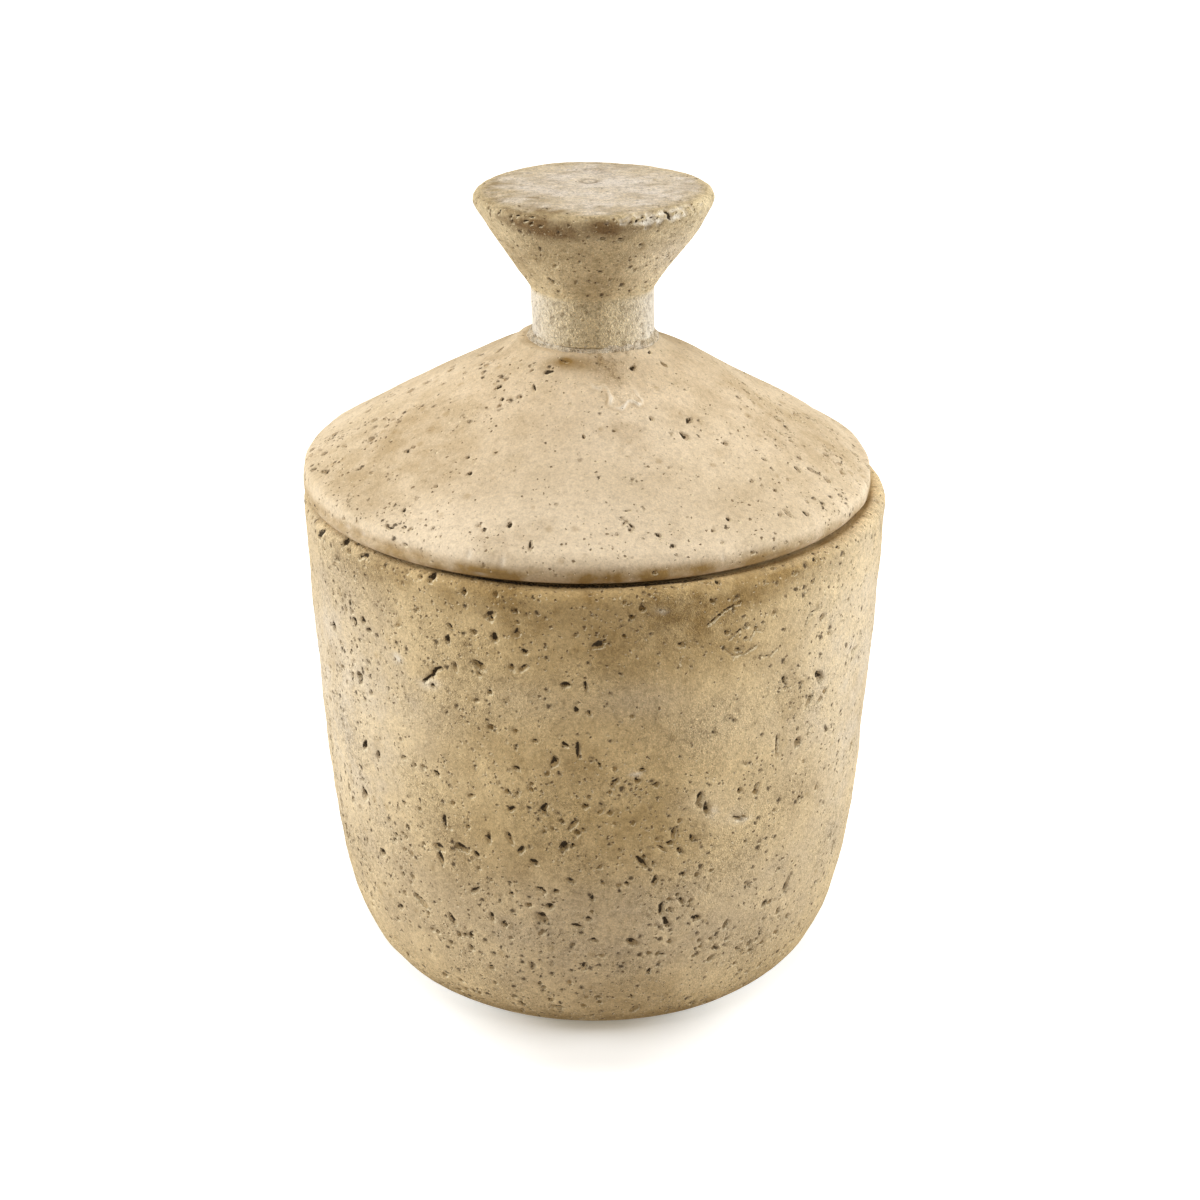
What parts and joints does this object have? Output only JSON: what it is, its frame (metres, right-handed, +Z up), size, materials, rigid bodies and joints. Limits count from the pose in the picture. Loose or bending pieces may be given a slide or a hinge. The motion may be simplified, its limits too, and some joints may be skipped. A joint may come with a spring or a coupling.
{
  "type": "storage jar",
  "caption": "Round storage jar with a swept foot and a thick rim, closed by a loose conical lid with a locating ring and a flared knob.",
  "frame": {"origin": "centre of the jar's standing face, on the floor", "axes": "+Z up along the jar's axis, -Y towards the side that the picture shows, +X to that picture's right"},
  "size_m": [0.14, 0.14, 0.1934],
  "materials": {
    "jar_clay": "matte",
    "lid_clay": "matte",
    "knob_clay": "matte",
    "slip": "matte"
  },
  "bodies": {
    "jar": {"jar_body": "jar_clay"},
    "lid": {"lid_cover": "lid_clay", "lid_knob": "knob_clay", "knob_bond": "slip"}
  },
  "joints": [
    {"name": "lid_lift", "type": "slide", "parent": "jar", "child": "lid", "axis": [0, 0, 1], "range_m": [0, 0.12]}
  ]
}
